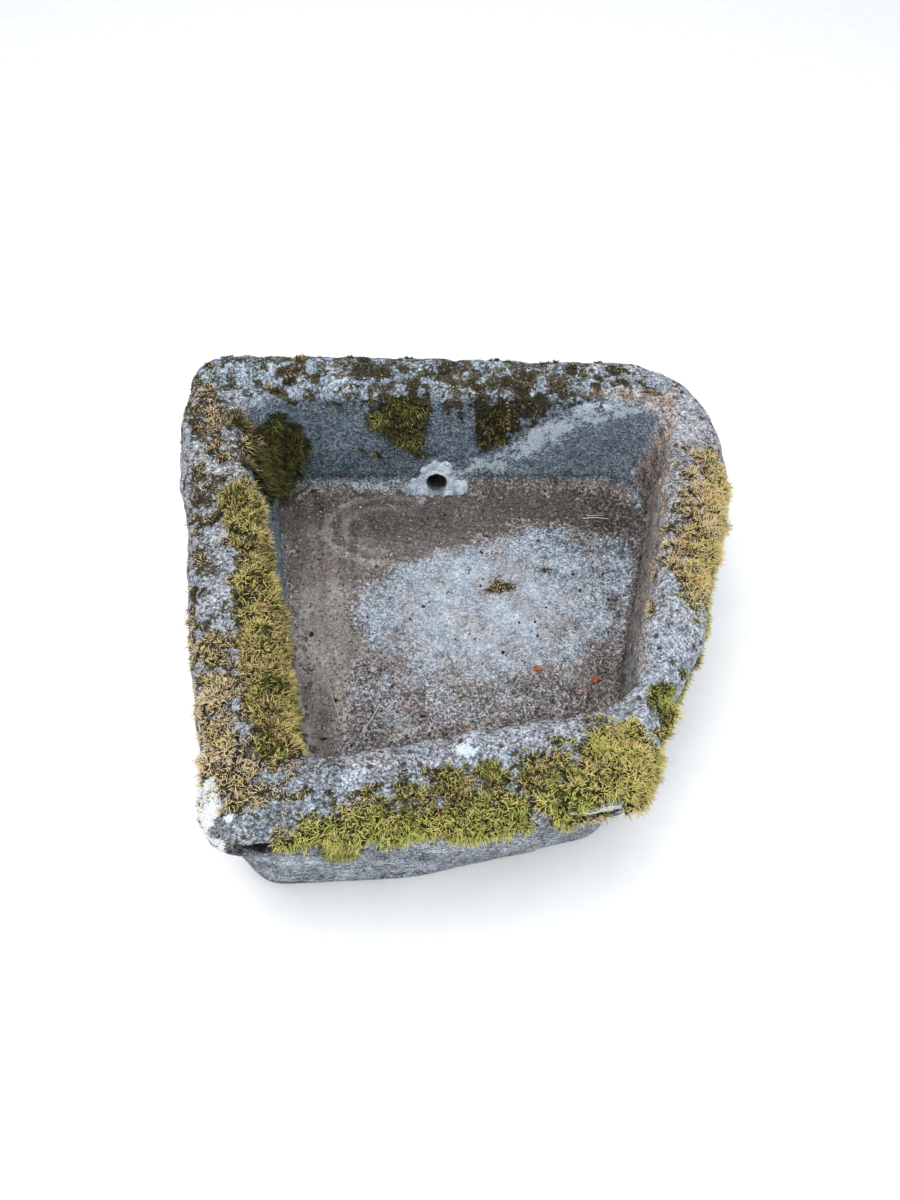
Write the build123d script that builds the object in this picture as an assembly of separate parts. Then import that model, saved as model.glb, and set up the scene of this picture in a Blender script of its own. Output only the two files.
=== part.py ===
from build123d import *
from functools import lru_cache
from math import cos, hypot, pi, sin
import os

# An old hand-cut granite trough kept as a bird bath: stone, mortared drain, silt, moss and litter.
# Frame: millimetres, +Z up, origin on the ground under the middle of the rim, +Y towards the drain wall.

# ---- Driving dimensions of the stone ----
RIM_Z = 262.0  # ground to the crown of the rim
LIP_Z = 204.0  # underside of the rim band
WAIST_Z = 190.0  # top of the body below the band
FLOOR_Z = 86.0  # ground to the basin floor
RIM_OUTER_RADIUS = 36.0  # worn roll of the rim on the outside
RIM_INNER_RADIUS = 22.0  # worn roll of the rim on the basin side
BASIN_FILLET = 24.0  # scoop between basin wall and floor
FOOT_FILLET = 12.0  # worn arris round the foot

# Rim outline: back left, left shoulder, front left, front middle, front right, right waist,
# right shoulder, back right; and the radius of each corner.
RIM_CORNERS = [
    (-386, 391), (-392, 252), (-280, -361), (26, -347), (217, -303), (315, -95), (390, 163), (403, 374),
]
RIM_RADII = [56, 130, 54, 320, 54, 280, 200, 158]
# How far lip, waist and foot stand in from the rim along each side, starting at the upper left.
LIP_INSETS = [4, 5, 4, 4, 4, 4, 3, 2]
WAIST_INSETS = [10, 14, 20, 22, 14, 12, 8, 5]
FOOT_INSETS = [18, 17, 20, 34, 26, 22, 20, 18]
LIP_RADII = [54, 128, 52, 315, 52, 275, 196, 156]
WAIST_RADII = [52, 125, 48, 300, 48, 270, 190, 152]
FOOT_RADII = [60, 120, 58, 260, 62, 240, 180, 130]

# Basin outline at the rim: back left, front left, front middle, front right, right middle, back right.
BASIN_CORNERS = [(-311, 301), (-184, -258), (14, -223), (221, -181), (280, 78), (323, 299)]
BASIN_RADII = [54, 42, 260, 90, 400, 78]
# The same corners at the floor: the back wall leans most, the right wall hardly at all.
BASIN_FLOOR_CORNERS = [(-268, 262), (-193, -246), (14, -209), (219, -170), (279, 78), (319, 262)]
BASIN_FLOOR_RADII = [48, 36, 240, 80, 380, 66]

# ---- Drain ----
BORE_RADIUS = 16.0  # mortar-lined outlet, a 32 mm hole
CORE_RADIUS = 20.0  # rough hole cut through the stone and filled with mortar
DRAIN_X = -21.0
DRAIN_Z = FLOOR_Z + BORE_RADIUS + 1.0
DRAIN_FOOT = 244.0  # Y at which the rough hole leaves the foot of the wall
MORTAR_THICKNESS = 7.0
# Outline of the mortar smear on the wall, from its foot at the left round over the top: X, height above floor
MORTAR_OUTLINE = [(-76, -4), (-70, 12), (-52, 22), (-44, 44), (-34, 54), (-25, 74), (-15, 58), (2, 47),
                  (8, 30), (24, 16), (28, -4)]

# ---- Dirt and growth ----
SILT_THICKNESS = 4.0
SILT_RISE = 9.0  # how far the silt climbs the scoop of the walls
BARE_OUTLINE = [(-142, 52), (-104, 102), (-30, 134), (40, 152), (108, 178), (190, 186), (246, 150),
                (232, 60), (206, -28), (120, -62), (42, -80), (-40, -64), (-102, -30)]
CHANNEL_WIDTH = 2 * BORE_RADIUS  # clear way through the silt to the outlet
CHANNEL_START = 180.0  # Y at which it starts on the floor
CHANNEL_LENGTH = 80.0
CHANNEL_HEIGHT = 44.0
TUFT_THICKNESS = 6.0
MAT_THICKNESS = 10.0
CUSHION_THICKNESS = 15.0
FLOOR_TUFTS = [(75, 78, 22, 12), (-8, -36, 9, 7), (150, 104, 8, 6)]  # X, Y, half length, half width
STEM_RADIUS = 0.9
LEAF_THICKNESS = 0.6
GRIT_COUNT = 34
GRIT_RADII = (1.6, 3.4)  # smallest and largest grain

OUT = "parts"


# ---- Outlines and cutting prisms ----
def inset_corners(corners, insets):
    """The polygon whose sides stand inside the given one's by insets, one for each side in order."""
    count = len(corners)
    sides = []
    for i in range(count):
        (x0, y0), (x1, y1) = corners[i], corners[(i + 1) % count]
        length = hypot(x1 - x0, y1 - y0)
        normal = (-(y1 - y0) / length, (x1 - x0) / length)
        sides.append((normal, normal[0] * x0 + normal[1] * y0 + insets[i]))
    found = []
    for i in range(count):
        (a, c), (b, d) = sides[i - 1], sides[i]
        cross = a[0] * b[1] - a[1] * b[0]
        found.append(((c * b[1] - d * a[1]) / cross, (a[0] * d - b[0] * c) / cross))
    return found


def rounded_face(corners, radii, z):
    """A flat face at height z with the given corners, each rounded to its own radius."""
    return make_face(FilletPolyline(*[(x, y, z) for x, y in corners], radius=radii, close=True))


def changed(values, amount):
    return [value + amount for value in values]


def plan_prism(points, low, high):
    """A standing prism over a smooth closed outline in plan, between two heights."""
    face = make_face(Spline(*points, periodic=True))
    return extrude(Pos(0, 0, low) * face, high - low)


def wall_prism(points, near, far):
    """A prism lying along Y over a smooth closed outline of (X, Z) points, between two distances."""
    face = make_face(Spline(*points, periodic=True))
    return extrude(Plane.XZ.offset(-near) * face, near - far)


def side_prism(points, near, far):
    """A prism lying along X over a smooth closed outline of (Y, Z) points, between two distances."""
    face = make_face(Spline(*points, periodic=True))
    return extrude(Plane.YZ.offset(near) * face, far - near)


def patch(x, y, half_length, half_width, turn=0.0, wobble=0.12, lobes=5):
    """Points of an uneven oval outline centred at x, y and turned by turn degrees."""
    points = []
    tilt = turn * pi / 180
    for i in range(12):
        angle = 2 * pi * i / 12
        reach = 1 + wobble * sin(lobes * angle + x)
        along = half_length * reach * cos(angle)
        across = half_width * reach * sin(angle)
        turned_x = along * cos(tilt) - across * sin(tilt)
        turned_y = along * sin(tilt) + across * cos(tilt)
        points.append((x + turned_x, y + turned_y))
    return points


# ---- Stone ----
def outer_block(grow=0.0):
    """The outside of the trough, grown outwards by grow."""
    levels = [
        (FOOT_INSETS, FOOT_RADII, 0.0),
        (WAIST_INSETS, WAIST_RADII, WAIST_Z),
        (LIP_INSETS, LIP_RADII, LIP_Z),
        ([0] * 8, RIM_RADII, RIM_Z + grow),
    ]
    faces = [
        rounded_face(inset_corners(RIM_CORNERS, changed(insets, -grow)), changed(radii, grow), z)
        for insets, radii, z in levels
    ]
    block = loft(faces, ruled=True)
    block = fillet(block.faces().sort_by(Axis.Z)[-1].edges(), RIM_OUTER_RADIUS + grow)
    if grow == 0.0:
        block = fillet(block.faces().sort_by(Axis.Z)[0].edges(), FOOT_FILLET)
    return block


def basin_hollow(shrink=0.0):
    """The space inside the basin, shrunk inwards by shrink, running up to the rim."""
    at_rim = inset_corners(BASIN_CORNERS, [shrink] * 6)
    at_floor = inset_corners(BASIN_FLOOR_CORNERS, [shrink] * 6)
    hollow = loft(
        [
            rounded_face(at_floor, changed(BASIN_FLOOR_RADII, -shrink), FLOOR_Z + shrink),
            rounded_face(at_rim, changed(BASIN_RADII, -shrink), RIM_Z + shrink),
        ],
        ruled=True,
    )
    return fillet(hollow.faces().sort_by(Axis.Z)[0].edges(), BASIN_FILLET - shrink)


@lru_cache(maxsize=None)
def open_trough(grow=0.0):
    """Block less basin with the inner edge of the rim rolled over, without the drain."""
    trough = outer_block(grow) - basin_hollow(grow)
    top = trough.faces().sort_by(Axis.Z)[-1]
    return fillet(top.inner_wires()[0].edges(), RIM_INNER_RADIUS + grow)


@lru_cache(maxsize=None)
def skin(thickness):
    """A coat of even thickness all over the trough."""
    return open_trough(thickness) - open_trough()


def drain_tool(radius, start):
    """A cylinder along the drain, from start in the basin to behind the trough."""
    length = 430 - start
    return Pos(DRAIN_X, start + length / 2, DRAIN_Z) * Rot(90, 0, 0) * Cylinder(radius, length)


def core():
    """The rough hole, which starts at the foot of the wall."""
    return drain_tool(CORE_RADIUS, DRAIN_FOOT)


def bore():
    """The clear outlet."""
    return drain_tool(BORE_RADIUS, CHANNEL_START)


def stone_trough():
    return open_trough() - core()


@lru_cache(maxsize=None)
def drain_mortar_collar():
    smear = wall_prism([(x, FLOOR_Z + z) for x, z in MORTAR_OUTLINE], DRAIN_FOOT - 5, 330)
    plate = skin(MORTAR_THICKNESS) & smear
    lining = core() & open_trough(MORTAR_THICKNESS) & outer_block()
    return (plate + lining) - bore()


# ---- Dirt ----
def silt_bed():
    low = extrude(rounded_face(BASIN_CORNERS, BASIN_RADII, FLOOR_Z - 1), SILT_RISE + 1)
    bare = plan_prism(BARE_OUTLINE, FLOOR_Z - 2, FLOOR_Z + 40)
    middle = Pos(DRAIN_X, CHANNEL_START + CHANNEL_LENGTH / 2, FLOOR_Z + CHANNEL_HEIGHT / 2 - 2)
    channel = middle * Box(CHANNEL_WIDTH, CHANNEL_LENGTH, CHANNEL_HEIGHT)
    laid = (skin(SILT_THICKNESS) & low) - bare - drain_mortar_collar() - channel
    return max(laid.solids(), key=lambda solid: solid.volume)  # without the sliver behind the mortar


def leaf(x, y, z, length, width, turn):
    """A small dry leaf fragment, arched along its length and standing on its two edges."""
    bend = width * 1.1
    shell = Cylinder(bend + LEAF_THICKNESS, length * 2) - Cylinder(bend, length * 2)
    shell = Pos(0, 0, -bend * 0.82) * Rot(0, 90, 0) * shell
    rounded = make_face(
        [ThreePointArc((-length / 2, 0), (0, width / 2), (length / 2, 0)),
         ThreePointArc((length / 2, 0), (0, -width / 2), (-length / 2, 0))]
    )
    arched = shell & extrude(rounded, bend)
    lowest = arched.bounding_box().min.Z
    return Pos(x, y, z) * Rot(0, 0, turn) * Pos(0, 0, -lowest) * arched


def leaf_fragments():
    on_silt = FLOOR_Z + SILT_THICKNESS
    return Compound([
        leaf(201, -76, on_silt, 20, 9, 65),
        leaf(123, -40, FLOOR_Z, 17, 9, -20),
        leaf(188, -92, on_silt, 11, 6, 10),
        leaf(-60, -120, on_silt, 10, 5, 40),
        leaf(-186, 120, on_silt, 9, 5, 80),
    ])


def stem(points, radius=STEM_RADIUS):
    """A round stem along a smooth line through points."""
    line = Spline(*points)
    return sweep(Plane(origin=line @ 0, z_dir=line % 0) * Circle(radius), line)


def straw_stems():
    z = FLOOR_Z + SILT_THICKNESS + STEM_RADIUS
    return Compound([
        stem([(-97, -112, z), (-106, -136, z), (-122, -158, z)]),
        stem([(206, 199, z), (226, 201, z), (246, 197, z)]),
        stem([(28, -136, z), (52, -127, z), (80, -129, z)]),
        stem([(-166, -96, z), (-156, -118, z), (-150, -142, z)]),
        stem([(102, 220, z), (106, 246, 104), (112, 264, 120), (128, 271, 146), (150, 272, 152),
              (170, 266, 128), (178, 242, 103), (182, 222, z)]),
    ])


def grit_pebbles():
    """Loose grains on the bare floor, set out along a spiral and flat underneath."""
    grains = []
    for i in range(GRIT_COUNT):
        share = (i + 0.5) / GRIT_COUNT
        turn = i * 2.39996
        radius = GRIT_RADII[0] + (GRIT_RADII[1] - GRIT_RADII[0]) * (0.5 + 0.5 * sin(i * 1.7)) ** 2
        x = 62 + 128 * share ** 0.5 * cos(turn)
        y = 42 + 74 * share ** 0.5 * sin(turn)
        if min(hypot(x - tuft[0], y - tuft[1]) - tuft[2] for tuft in FLOOR_TUFTS) < 2 * radius:
            continue
        grain = Sphere(radius) - Pos(0, 0, -1.6 * radius) * Box(4 * radius, 4 * radius, 2 * radius)
        grains.append(Pos(x, y, FLOOR_Z + 0.6 * radius) * grain)
    return Compound(grains)


# ---- Moss ----
def on_rim(points, thickness, low=236.0, high=320.0):
    """Moss over a smooth plan outline on the rim, down to height low."""
    return skin(thickness) & plan_prism(points, low, high)


def tufts(places, thickness, low=236.0):
    """Separate small cushions on the rim, each an uneven oval."""
    pieces = []
    for x, y, length, width, turn in places:
        pieces += on_rim(patch(x, y, length, width, turn), thickness, low).solids()
    return Compound(pieces)


def moss_left_rim_inner():
    outline = [(-296, 132), (-262, 142), (-240, 90), (-222, 20), (-208, -60), (-186, -150), (-168, -236),
               (-196, -262), (-232, -196), (-256, -110), (-270, -30), (-284, 60)]
    return on_rim(outline, CUSHION_THICKNESS, 214)


def moss_left_rim_outer():
    return tufts([(-330, 112, 20, 12, 75), (-334, 58, 13, 10, 80), (-316, 8, 18, 13, 95),
                  (-312, -52, 14, 10, 60)], TUFT_THICKNESS)


def moss_front_left_corner():
    outline = [(-306, -96), (-280, -104), (-260, -170), (-238, -226), (-204, -272), (-176, -296),
               (-206, -316), (-250, -306), (-276, -262), (-292, -196), (-304, -140)]
    return on_rim(outline, MAT_THICKNESS)


def moss_back_left_rim():
    outline = [(-378, 262), (-348, 304), (-326, 300), (-318, 262), (-306, 214), (-296, 176), (-320, 162),
               (-340, 190), (-360, 226)]
    return on_rim(outline, TUFT_THICKNESS)


def moss_back_left_corner():
    on_wall = wall_prism([(-308, 104), (-318, 170), (-306, 226), (-264, 234), (-222, 220), (-186, 180),
                          (-194, 136), (-230, 112), (-268, 103)], 150, 330)
    cut = plan_prism([(-330, 176), (-336, 320), (-250, 340), (-170, 330), (-176, 262), (-230, 226),
                      (-262, 176)], 90, 250)
    return skin(MAT_THICKNESS) & on_wall & cut


def moss_back_wall_centre():
    on_wall = wall_prism([(-122, 222), (-108, 194), (-86, 178), (-64, 160), (-50, 126), (-40, 140),
                          (-40, 172), (-36, 204), (-42, 240), (-68, 248), (-100, 240)], 215, 330)
    return (skin(TUFT_THICKNESS) & on_wall) - drain_mortar_collar()


def moss_back_wall_right():
    outline = [(38, 176), (52, 158), (72, 168), (92, 186), (90, 218), (66, 234), (44, 214)]
    on_wall = wall_prism(outline, 215, 330)
    return skin(TUFT_THICKNESS) & on_wall


def moss_back_rim_tufts():
    return tufts([(-226, 336, 44, 16, 2), (-116, 334, 36, 17, -4), (-10, 334, 24, 20, 20),
                  (46, 322, 20, 24, 10),
                  (104, 318, 26, 21, -15), (166, 308, 15, 17, 0), (246, 324, 28, 15, -20)], TUFT_THICKNESS)


def moss_right_rim():
    outline = [(337, 184), (360, 186), (370, 150), (364, 70), (340, 4), (318, -38), (300, -50), (282, -34),
               (272, -8), (288, 58), (310, 124)]
    return on_rim(outline, MAT_THICKNESS)


def moss_right_outer():
    band = side_prism([(190, 216), (120, 222), (40, 216), (-60, 220), (-150, 214), (-222, 200), (-236, 178),
                       (-170, 160), (-90, 152), (0, 142), (70, 156), (140, 168), (186, 190)], 200, 440)
    return (skin(TUFT_THICKNESS) & band).solids().sort_by(Axis.X)[-1]


def moss_right_front_tuft():
    return tufts([(250, -180, 22, 14, 65)], TUFT_THICKNESS)


@lru_cache(maxsize=None)
def moss_front_rim():
    outline = [(-204, -338), (-150, -322), (-132, -300), (-60, -276), (0, -266), (70, -250), (128, -236),
               (150, -270), (152, -312), (120, -356), (0, -384), (-120, -396), (-196, -392)]
    return on_rim(outline, MAT_THICKNESS, 206)


def moss_front_right_corner():
    outline = [(158, -234), (176, -208), (206, -210), (232, -226), (256, -246), (272, -300), (236, -350),
               (170, -356), (160, -300)]
    return on_rim(outline, CUSHION_THICKNESS, 206)


def moss_front_wall_tongue():
    outline = [(-148, 206), (-142, 178), (-132, 152), (-124, 140), (-114, 156), (-106, 184), (-100, 206)]
    hanging = wall_prism(outline, -420, -260)
    return (skin(TUFT_THICKNESS) & hanging) - moss_front_rim()


def moss_floor_tufts():
    pieces = []
    for x, y, length, width in FLOOR_TUFTS:
        tuft = plan_prism(patch(x, y, length, width), FLOOR_Z - 2, FLOOR_Z + 20)
        pieces.append(skin(TUFT_THICKNESS) & tuft)
    return Compound([solid for piece in pieces for solid in piece.solids()])


SUB_PARTS = [
    stone_trough, drain_mortar_collar, silt_bed, leaf_fragments, straw_stems, grit_pebbles,
    moss_left_rim_inner, moss_left_rim_outer, moss_front_left_corner, moss_back_left_rim,
    moss_back_left_corner, moss_back_wall_centre, moss_back_wall_right, moss_back_rim_tufts,
    moss_right_rim, moss_right_outer, moss_right_front_tuft,
    moss_front_rim, moss_front_right_corner, moss_front_wall_tongue, moss_floor_tufts,
]

os.makedirs("parts", exist_ok=True)
for make in SUB_PARTS:
    shape = make()
    print(make.__name__, len(shape.solids()), round(shape.volume), shape.is_valid)
    export_step(shape, f"{OUT}/{make.__name__}.step")
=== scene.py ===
import math
from itertools import product

import bmesh
import bpy
import numpy as np
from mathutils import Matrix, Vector
from mathutils.bvhtree import BVHTree


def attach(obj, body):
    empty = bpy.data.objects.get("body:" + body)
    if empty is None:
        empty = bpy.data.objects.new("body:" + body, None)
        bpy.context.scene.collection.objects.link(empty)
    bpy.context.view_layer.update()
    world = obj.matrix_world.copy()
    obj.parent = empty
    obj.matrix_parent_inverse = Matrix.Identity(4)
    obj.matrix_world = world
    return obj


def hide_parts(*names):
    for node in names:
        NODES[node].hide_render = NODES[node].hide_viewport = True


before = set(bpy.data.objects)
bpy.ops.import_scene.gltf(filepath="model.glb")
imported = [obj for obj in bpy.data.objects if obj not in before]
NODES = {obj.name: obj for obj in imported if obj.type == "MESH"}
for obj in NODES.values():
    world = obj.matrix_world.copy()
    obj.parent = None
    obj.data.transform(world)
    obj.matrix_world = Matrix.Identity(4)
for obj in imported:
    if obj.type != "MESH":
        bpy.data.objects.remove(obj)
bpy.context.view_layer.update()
MM = 0.001

# Outlines of the rim and of the basin at the rim (mm, the CAD's own driving points), used only to tell
# zones apart.
RIM = [(-386, 391), (-392, 252), (-280, -361), (26, -347), (217, -303), (315, -95), (390, 163),
       (403, 374)]
BASIN = [(-311, 301), (-184, -258), (14, -223), (221, -181), (280, 78), (323, 299)]
FLOOR_Z = 86.0
DRAIN = (-21.0, 103.0)
VOXEL = 3.0
MORTAR_VOXEL = 1.6
BASE_Z = 1.5          # points below this stay on the flat base
MOST_SHOOTS = 12400   # in one piece, which keeps its mesh within 200 000 faces


# ---------------------------------------------------------------- numbers
def ease(low, high, x):
    """A smooth step from 0 at low to 1 at high; low may be the greater."""
    t = np.clip((x - low) / (high - low), 0, 1)
    return t * t * (3 - 2 * t)


PERMUTATIONS = {}
GRADIENTS = np.array([(1, 1, 0), (-1, 1, 0), (1, -1, 0), (-1, -1, 0), (1, 0, 1), (-1, 0, 1), (1, 0, -1),
                      (-1, 0, -1), (0, 1, 1), (0, -1, 1), (0, 1, -1), (0, -1, -1), (1, 1, 0), (-1, 1, 0),
                      (0, -1, 1), (0, -1, -1)], float)


def noise(p, size, seed=0):
    """Gradient noise of points in mm with features about size mm long, roughly -1 to 1."""
    if seed not in PERMUTATIONS:
        PERMUTATIONS[seed] = np.tile(np.random.default_rng(1000 + seed).permutation(256), 3)
    perm = PERMUTATIONS[seed]
    q = p / size + 31.7 * (seed % 13)
    i = np.floor(q).astype(int)
    f = q - i
    u = f * f * f * (f * (f * 6 - 15) + 10)
    i &= 255
    total = 0.0
    for corner in product((0, 1), repeat=3):
        dx, dy, dz = corner
        h = perm[perm[perm[i[:, 0] + dx] + i[:, 1] + dy] + i[:, 2] + dz] & 15
        share = np.where(corner, u, 1 - u)
        w = share[:, 0] * share[:, 1] * share[:, 2]
        total = total + w * (GRADIENTS[h] * (f - corner)).sum(1)
    return total * 1.5


def fbm(p, size, seed=0, octaves=3):
    return sum(0.5 ** k * noise(p, size / 2 ** k, seed + 17 * k) for k in range(octaves))


HASH_PRIMES = np.array([73856093, 19349663, 83492791])
CELL_KINDS = 4096


def cells(p, size, seed):
    """For each point, the step in mm from the nearest of points strewn one to a cell, and that point's own
    random number."""
    table = np.random.default_rng(seed).random((CELL_KINDS, 4))
    q = p / size
    base = np.floor(q).astype(np.int64)
    best = np.full(len(q), 9.0)
    own = np.zeros(len(q))
    step = np.zeros_like(q)
    for offset in product((-1, 0, 1), repeat=3):
        c = base + offset
        h = np.bitwise_xor.reduce(c * HASH_PRIMES, axis=1) & (CELL_KINDS - 1)
        away = q - c - table[h, :3]
        d = np.linalg.norm(away, axis=1)
        near = d < best
        best = np.where(near, d, best)
        own = np.where(near, table[h, 3], own)
        step = np.where(near[:, None], away, step)
    return step * size, own


def strewn(p, size, seed):
    """Distance in mm to the nearest of points strewn one to a cell, and that point's own random number."""
    step, own = cells(p, size, seed)
    return np.linalg.norm(step, axis=1), own


def inside(points, corners):
    """How far each plan point lies inside a convex outline, in mm; negative outside."""
    found = np.full(len(points), 1e9)
    for k in range(len(corners)):
        (x0, y0), (x1, y1) = corners[k], corners[(k + 1) % len(corners)]
        length = math.hypot(x1 - x0, y1 - y0)
        nx, ny = -(y1 - y0) / length, (x1 - x0) / length
        found = np.minimum(found, (points[:, 0] - x0) * nx + (points[:, 1] - y0) * ny)
    return found


def line_distance(a, b, x0, y0, x1, y1):
    """Distance of points (a, b) from a segment."""
    dx, dy = x1 - x0, y1 - y0
    t = np.clip(((a - x0) * dx + (b - y0) * dy) / (dx * dx + dy * dy), 0, 1)
    return np.hypot(a - x0 - t * dx, b - y0 - t * dy)


def col(values):
    """A column for products with rows of x, y and z."""
    return values[:, None]


def unit(v):
    return v / np.maximum(np.linalg.norm(v, axis=1, keepdims=True), 1e-9)


# ---------------------------------------------------------------- meshes
def add_object(name, data):
    ob = bpy.data.objects.new(name, data)
    bpy.context.scene.collection.objects.link(ob)
    return ob


def link(name, mesh, replaced, materials):
    ob = add_object(name, mesh)
    for m in materials:
        mesh.materials.append(m)
    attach(ob, "root")
    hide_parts(replaced)


def coords(mesh):
    out = np.empty(len(mesh.vertices) * 3)
    mesh.vertices.foreach_get("co", out)
    return out.reshape(-1, 3)


def build(name, verts, groups, slots=None, smooth_shaded=True):
    """A mesh from vertices in mm and groups of faces, each an array of rows of indices, one group for each
    number of corners."""
    mesh = bpy.data.meshes.new(name)
    counts = np.concatenate([np.full(len(g), g.shape[1]) for g in groups])
    loops = np.concatenate([g.reshape(-1) for g in groups]).astype(np.int32)
    starts = np.concatenate([[0], np.cumsum(counts)[:-1]]).astype(np.int32)
    mesh.vertices.add(len(verts))
    mesh.vertices.foreach_set("co", (np.asarray(verts) * MM).astype(np.float32).reshape(-1))
    mesh.loops.add(len(loops))
    mesh.loops.foreach_set("vertex_index", loops)
    mesh.polygons.add(len(counts))
    mesh.polygons.foreach_set("loop_start", starts)
    mesh.update(calc_edges=True)
    mesh.polygons.foreach_set("use_smooth", np.full(len(counts), smooth_shaded))
    if slots is not None:
        mesh.polygons.foreach_set("material_index", np.asarray(slots, np.int32))
    mesh.update()
    return mesh


def attribute(mesh, name, values):
    mesh.attributes.new(name, "FLOAT", "POINT").data.foreach_set("value", np.asarray(values, np.float32))


def remeshed(node, voxel):
    """A CAD node as an even quad mesh: points (mm), normals, quads."""
    bm = bmesh.new()
    bm.from_mesh(NODES[node].data)
    bmesh.ops.remove_doubles(bm, verts=bm.verts, dist=1e-6)
    welded = bpy.data.meshes.new("welded")
    bm.to_mesh(welded)
    bm.free()
    ob = add_object("welded", welded)
    mod = ob.modifiers.new("even", "REMESH")
    mod.mode = "VOXEL"
    mod.voxel_size = voxel * MM
    mod.adaptivity = 0.0
    mesh = bpy.data.meshes.new_from_object(ob.evaluated_get(bpy.context.evaluated_depsgraph_get()))
    bpy.data.objects.remove(ob)
    bpy.data.meshes.remove(welded)
    n = np.empty(len(mesh.vertices) * 3)
    mesh.vertex_normals.foreach_get("vector", n)
    quads = np.empty(len(mesh.loops), np.int32)
    mesh.loops.foreach_get("vertex_index", quads)
    p = coords(mesh) / MM
    bpy.data.meshes.remove(mesh)
    return p, n.reshape(-1, 3), quads.reshape(-1, 4)


def gathered(values):
    """The sum, at each point of the stone, of a value for each of its quads."""
    total = np.zeros((len(P0), *values.shape[1:]))
    for k in range(4):
        np.add.at(total, QUADS[:, k], values)
    return total


def spread(values, rounds):
    """Values averaged with their neighbours over the stone's mesh."""
    count = gathered(np.ones(len(QUADS)))
    if values.ndim == 2:
        count = col(count)
    for _ in range(rounds):
        values = gathered(values[QUADS].mean(1)) / count
    return values


def tree_of(p, faces):
    return BVHTree.FromPolygons([Vector(v) for v in p], [tuple(int(i) for i in f) for f in faces])


# ---------------------------------------------------------------- materials
def is_socket(value):
    return isinstance(value, bpy.types.NodeSocket)


def rgba(colour):
    return colour if is_socket(colour) else (*colour, 1)


class Nodes:
    """A node material put together by short calls."""

    def __init__(self, name):
        self.mat = bpy.data.materials.new(name)
        self.mat.use_nodes = True
        self.tree = self.mat.node_tree
        self.tree.nodes.clear()
        self.bsdf = self.node("BsdfPrincipled", {})
        self.node("OutputMaterial", {"Surface": self.bsdf.outputs[0]})
        self.where = self.node("TexCoord", {}).outputs["Object"]

    def fill(self, node, inputs):
        for key, value in inputs.items():
            if is_socket(value):
                self.tree.links.new(value, node.inputs[key])
            else:
                node.inputs[key].default_value = value

    def node(self, kind, inputs, **settings):
        n = self.tree.nodes.new("ShaderNode" + kind)
        for key, value in settings.items():
            setattr(n, key, value)
        self.fill(n, inputs)
        return n

    def noise(self, size, detail=3.0, rough=0.7, distort=0.0):
        return self.node("TexNoise", {"Vector": self.where, "Scale": 1000.0 / size, "Detail": detail,
                                      "Roughness": rough, "Distortion": distort}).outputs["Fac"]

    def voronoi(self, size):
        return self.node("TexVoronoi", {"Vector": self.where, "Scale": 1000.0 / size})

    def grains(self, size):
        """Grains of one random tone each."""
        return self.node("SeparateColor", {0: self.voronoi(size).outputs["Color"]}).outputs[0]

    def math(self, kind, a, b, clamp=False):
        return self.node("Math", {0: a, 1: b}, operation=kind, use_clamp=clamp).outputs[0]

    def add(self, a, b, clamp=False):
        return self.math("ADD", a, b, clamp)

    def times(self, a, b):
        return self.math("MULTIPLY", a, b)

    def sway(self, texture, amount):
        """A texture turned to swing round nought."""
        return self.times(self.math("SUBTRACT", texture, 0.5), amount)

    def both(self, a, share, b):
        return self.add(self.times(a, share), self.times(b, 1 - share))

    def range(self, value, low, high, a=0.0, b=1.0):
        inputs = {"Value": value, "From Min": low, "From Max": high, "To Min": a, "To Max": b}
        return self.node("MapRange", inputs, interpolation_type="SMOOTHSTEP").outputs["Result"]

    def ramp(self, value, stops):
        n = self.node("ValToRGB", {0: value})
        e = n.color_ramp.elements
        while len(e) < len(stops):
            e.new(0.5)
        for k, (at, colour) in enumerate(stops):
            e[k].position = at
            e[k].color = (*colour, 1)
        return n.outputs["Color"]

    def mix(self, share, a, b, blend="MIX"):
        inputs = {"Factor": share, "A": rgba(a), "B": rgba(b)}
        return self.node("Mix", inputs, data_type="RGBA", blend_type=blend).outputs["Result"]

    def attribute(self, name):
        return self.node("Attribute", {}, attribute_name=name).outputs["Fac"]

    def finish(self, colour, roughness, specular, height, distance, strength=1.0):
        """Sets the bump (height over a distance in mm), the colour and the gloss."""
        bump = {"Strength": strength, "Distance": distance * MM, "Height": height}
        self.fill(self.bsdf, {"Normal": self.node("Bump", bump).outputs[0], "Base Color": rgba(colour),
                              "Roughness": roughness, "Specular IOR Level": specular})
        return self.mat


# Tones from the hollows to the bright grains: bluish granite (its own cast, and painted bluish shade
# on the inner walls), grey granite, silt, dark crust, pale lichen, rust-brown stain, mortar and dry leaf.
BLUE_CAST_AND_SHADE_RAMP = [(0.0, (0.01, 0.014, 0.018)), (0.22, (0.035, 0.052, 0.068)), (0.42, (0.1, 0.135, 0.17)),
             (0.62, (0.24, 0.29, 0.35)), (0.82, (0.44, 0.49, 0.57)), (1.0, (0.66, 0.7, 0.76))]
GREY_RAMP = [(0.0, (0.012, 0.011, 0.01)), (0.22, (0.05, 0.047, 0.046)), (0.42, (0.14, 0.136, 0.142)),
             (0.62, (0.3, 0.305, 0.335)), (0.82, (0.5, 0.51, 0.56)), (1.0, (0.72, 0.73, 0.76))]
EARTH_RAMP = [(0.0, (0.014, 0.011, 0.009)), (0.25, (0.05, 0.043, 0.039)), (0.45, (0.115, 0.1, 0.094)),
              (0.68, (0.25, 0.22, 0.205)), (1.0, (0.56, 0.54, 0.53))]
CRUST_RAMP = [(0.0, (0.006, 0.006, 0.005)), (0.35, (0.02, 0.018, 0.013)), (0.62, (0.058, 0.052, 0.036)),
              (1.0, (0.26, 0.25, 0.2))]
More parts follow.
